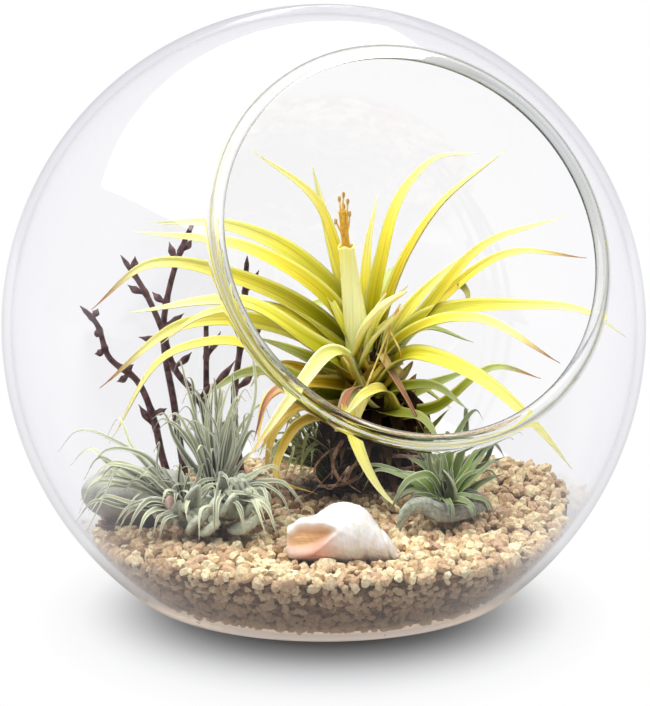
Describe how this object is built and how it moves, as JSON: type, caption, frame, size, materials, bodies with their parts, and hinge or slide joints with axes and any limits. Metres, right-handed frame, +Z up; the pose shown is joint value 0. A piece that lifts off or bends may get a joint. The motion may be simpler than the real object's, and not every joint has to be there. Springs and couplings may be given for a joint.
{
  "type": "succulent globe planter",
  "caption": "Clear glass globe with a slanted round mouth and a flat foot, planted on a gravel bed with a yellow-green air plant, silver air plants, dry twigs, a seashell and a river stone.",
  "frame": {"origin": "middle of the flat foot, on the surface that the globe stands on", "axes": "+Z up; the mouth's axis lies in the YZ plane and points to -Y, raised 25.5 degrees; +X to the right of someone facing the mouth"},
  "size_m": [0.2, 0.1991, 0.1848],
  "materials": {
    "clear_glass": "clear, polished",
    "gravel": "broken, matt",
    "stone_green_grey": "water-worn, satin",
    "pearl_shell": "pearly, satin",
    "yellow_leaf": "leaf, satin",
    "flower_green": "leaf, satin",
    "stamen_orange": "matt",
    "dry_stump": "rough, dry",
    "silver_leaf": "felted leaf, matt",
    "grey_green_leaf": "felted leaf, matt",
    "dark_green_leaf": "leaf, matt",
    "dry_twig": "bark, dry"
  },
  "bodies": {
    "root": {"glass_globe": "clear_glass", "gravel_bed": "gravel", "river_stone": "stone_green_grey", "seashell": "pearl_shell", "air_plant_leaves": "yellow_leaf", "air_plant_flower": "flower_green", "air_plant_stamens": "stamen_orange", "air_plant_stump": "dry_stump", "silver_plant": "silver_leaf", "small_green_plant": "grey_green_leaf", "back_green_plant": "dark_green_leaf", "twig_1": "dry_twig", "twig_2": "dry_twig", "twig_3": "dry_twig", "twig_4": "dry_twig", "twig_5": "dry_twig"}
  },
  "joints": []
}
